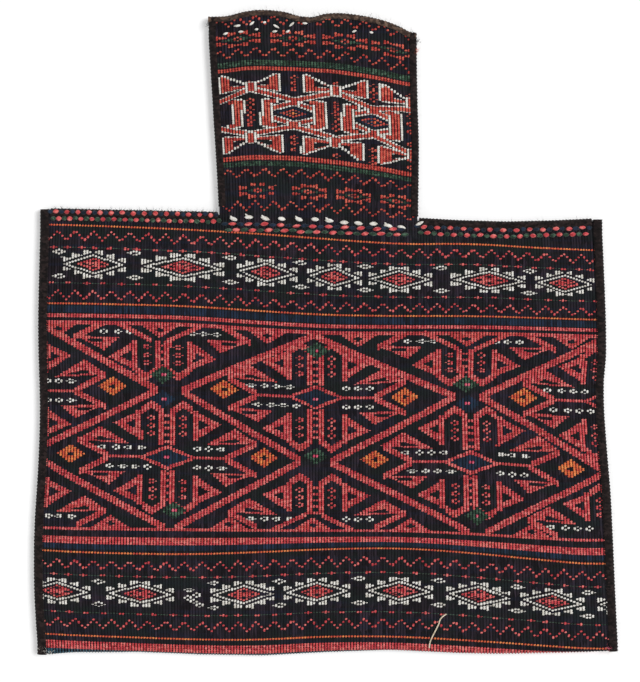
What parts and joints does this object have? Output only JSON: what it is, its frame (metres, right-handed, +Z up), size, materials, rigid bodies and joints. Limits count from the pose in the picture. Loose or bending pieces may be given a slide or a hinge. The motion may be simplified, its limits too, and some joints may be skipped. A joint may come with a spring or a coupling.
{
  "type": "salt bag",
  "caption": "Flat-woven wool salt bag with a wide body, a narrow open neck and overcast edges, lying empty and flat on its back.",
  "frame": {"origin": "on the ground under the middle of the lying bag", "axes": "+Y from the bottom fold up the neck to the mouth, +Z up out of the patterned face, +X to the right of that face"},
  "size_m": [0.4596, 0.5082, 0.0168],
  "materials": {
    "wool_cloth": "flat weave with raised patterned wefts",
    "goat_hair_binding": "matt, hairy overcasting",
    "red_twining": "matt wool",
    "white_wool": "matt wool"
  },
  "bodies": {
    "root": {"woven_cloth": "wool_cloth", "left_side_binding": "goat_hair_binding", "right_side_binding": "goat_hair_binding", "left_shoulder_binding": "goat_hair_binding", "right_shoulder_binding": "goat_hair_binding", "left_neck_binding": "goat_hair_binding", "right_neck_binding": "goat_hair_binding", "front_mouth_binding": "goat_hair_binding", "back_mouth_binding": "goat_hair_binding", "left_shoulder_twining": "red_twining", "centre_shoulder_twining": "red_twining", "right_shoulder_twining": "red_twining", "white_running_stitch": "white_wool", "loose_thread": "white_wool"}
  },
  "joints": []
}
